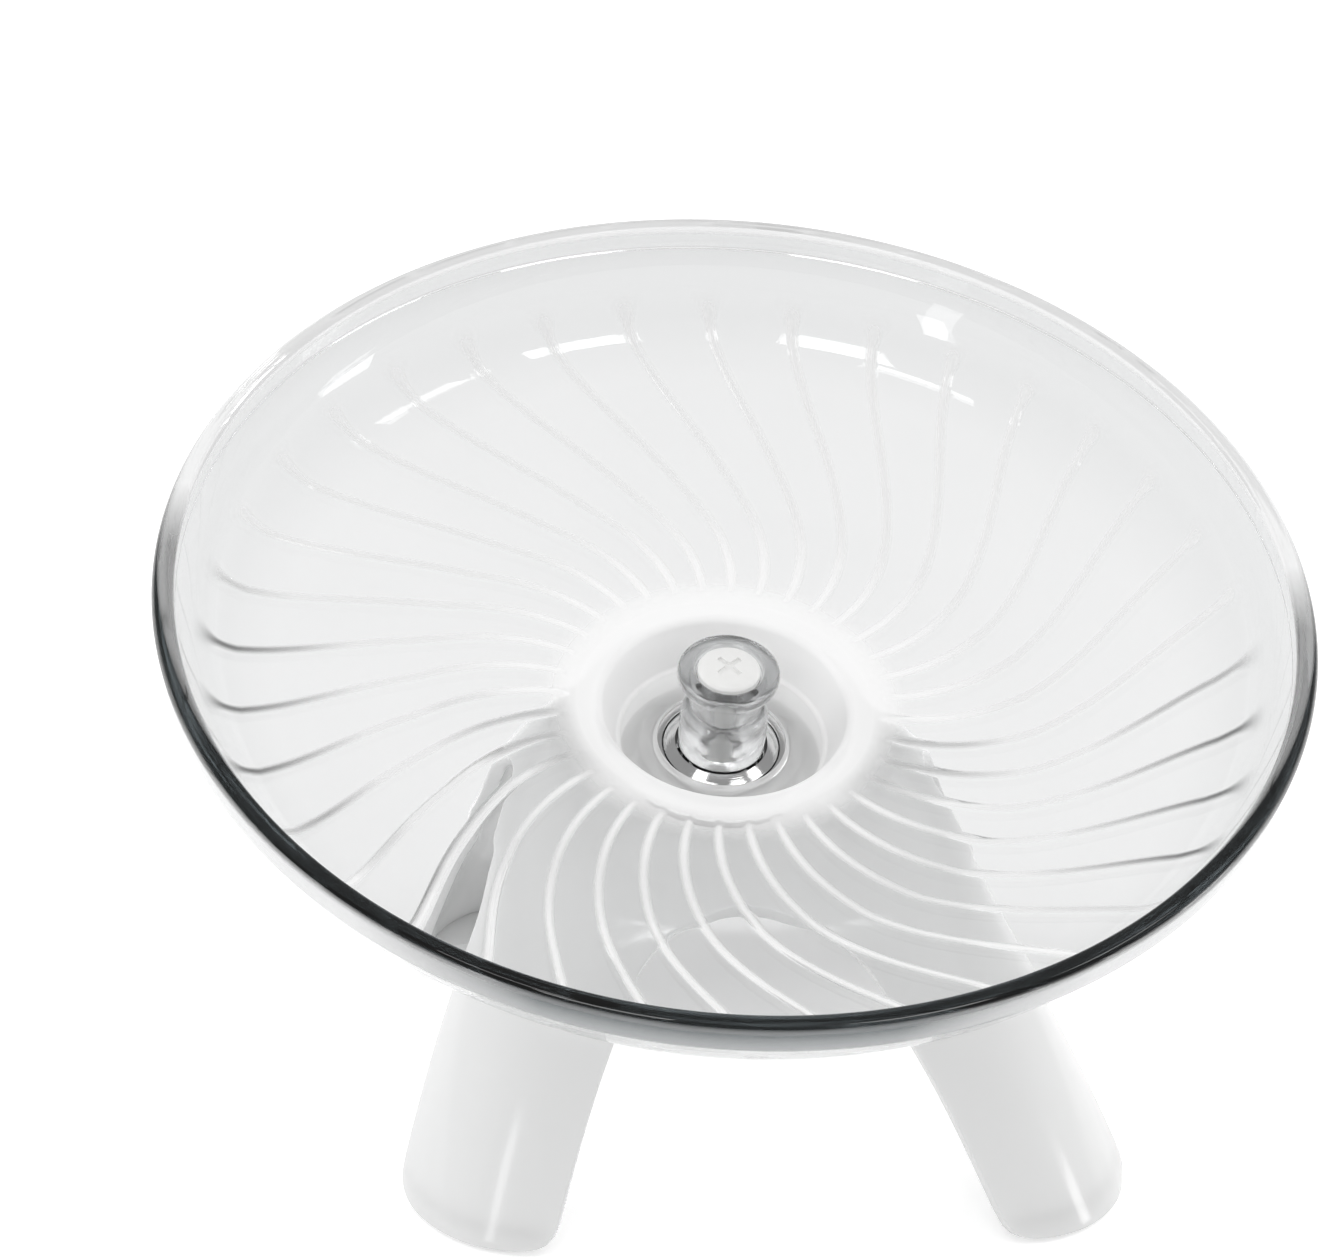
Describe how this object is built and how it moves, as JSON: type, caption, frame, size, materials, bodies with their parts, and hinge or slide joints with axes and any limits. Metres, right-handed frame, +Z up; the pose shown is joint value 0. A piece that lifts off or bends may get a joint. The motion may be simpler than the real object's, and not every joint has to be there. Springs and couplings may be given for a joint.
{
  "type": "small animal exercise wheel",
  "caption": "Tilted clear saucer dish with swirling ribs, spinning on a ball bearing over a hollow white four-legged stand.",
  "frame": {"origin": "on the ground under the middle of the whole object's bounding box", "axes": "+Z up, +X across the dish to the right, -Y towards the low side of the tilted dish"},
  "size_m": [0.18, 0.169, 0.1267],
  "materials": {
    "clear_plastic": "clear, polished",
    "cap_plastic": "clear, polished",
    "stand_white": "white gloss moulding",
    "screw_white": "white gloss moulding",
    "bearing_steel": "ground and polished",
    "ball_steel": "polished",
    "washer_steel": "plain",
    "shield_steel": "pressed, bright",
    "cage_plastic": "dark, matt",
    "retainer_plastic": "pale, satin",
    "pad_rubber": "translucent grey, matt"
  },
  "bodies": {
    "stand": {"stand": "stand_white", "foot_pad_front_left": "pad_rubber", "foot_pad_front_right": "pad_rubber", "foot_pad_back_left": "pad_rubber", "foot_pad_back_right": "pad_rubber", "bearing_inner_race": "bearing_steel", "thrust_washer": "washer_steel", "axle_cap": "cap_plastic", "cap_screw": "screw_white"},
    "dish": {"saucer_dish": "clear_plastic", "bearing_outer_race": "bearing_steel", "bearing_shield_top": "shield_steel", "bearing_shield_bottom": "shield_steel", "bearing_retainer": "retainer_plastic"},
    "cage": {"bearing_cage": "cage_plastic"},
    "ball_1": {"bearing_ball_1": "ball_steel"},
    "ball_2": {"bearing_ball_2": "ball_steel"},
    "ball_3": {"bearing_ball_3": "ball_steel"},
    "ball_4": {"bearing_ball_4": "ball_steel"},
    "ball_5": {"bearing_ball_5": "ball_steel"},
    "ball_6": {"bearing_ball_6": "ball_steel"},
    "ball_7": {"bearing_ball_7": "ball_steel"}
  },
  "joints": [
    {"name": "dish_spin", "type": "hinge", "parent": "stand", "child": "dish", "pos_m": [0, 0.00851, 0.0705], "axis": [0, -0.3584, 0.9336], "continuous": true},
    {"name": "cage_orbit", "type": "hinge", "parent": "stand", "child": "cage", "pos_m": [0, 0.00851, 0.0705], "axis": [0, -0.3584, 0.9336], "continuous": true},
    {"name": "ball_1_roll", "type": "hinge", "parent": "cage", "child": "ball_1", "pos_m": [0.0077, 0.01292, 0.05902], "axis": [0, -0.3584, 0.9336], "continuous": true},
    {"name": "ball_2_roll", "type": "hinge", "parent": "cage", "child": "ball_2", "pos_m": [0.0048, 0.01854, 0.06118], "axis": [0, -0.3584, 0.9336], "continuous": true},
    {"name": "ball_3_roll", "type": "hinge", "parent": "cage", "child": "ball_3", "pos_m": [-0.00171, 0.01993, 0.06171], "axis": [0, -0.3584, 0.9336], "continuous": true},
    {"name": "ball_4_roll", "type": "hinge", "parent": "cage", "child": "ball_4", "pos_m": [-0.00694, 0.01604, 0.06022], "axis": [0, -0.3584, 0.9336], "continuous": true},
    {"name": "ball_5_roll", "type": "hinge", "parent": "cage", "child": "ball_5", "pos_m": [-0.00694, 0.0098, 0.05782], "axis": [0, -0.3584, 0.9336], "continuous": true},
    {"name": "ball_6_roll", "type": "hinge", "parent": "cage", "child": "ball_6", "pos_m": [-0.00171, 0.00591, 0.05633], "axis": [0, -0.3584, 0.9336], "continuous": true},
    {"name": "ball_7_roll", "type": "hinge", "parent": "cage", "child": "ball_7", "pos_m": [0.0048, 0.0073, 0.05686], "axis": [0, -0.3584, 0.9336], "continuous": true}
  ],
  "couplings": [
    {"joint": "cage_orbit", "follows": "dish_spin", "ratio": 0.61688},
    {"joint": "ball_1_roll", "follows": "dish_spin", "ratio": 2.022},
    {"joint": "ball_2_roll", "follows": "dish_spin", "ratio": 2.022},
    {"joint": "ball_3_roll", "follows": "dish_spin", "ratio": 2.022},
    {"joint": "ball_4_roll", "follows": "dish_spin", "ratio": 2.022},
    {"joint": "ball_5_roll", "follows": "dish_spin", "ratio": 2.022},
    {"joint": "ball_6_roll", "follows": "dish_spin", "ratio": 2.022},
    {"joint": "ball_7_roll", "follows": "dish_spin", "ratio": 2.022}
  ]
}
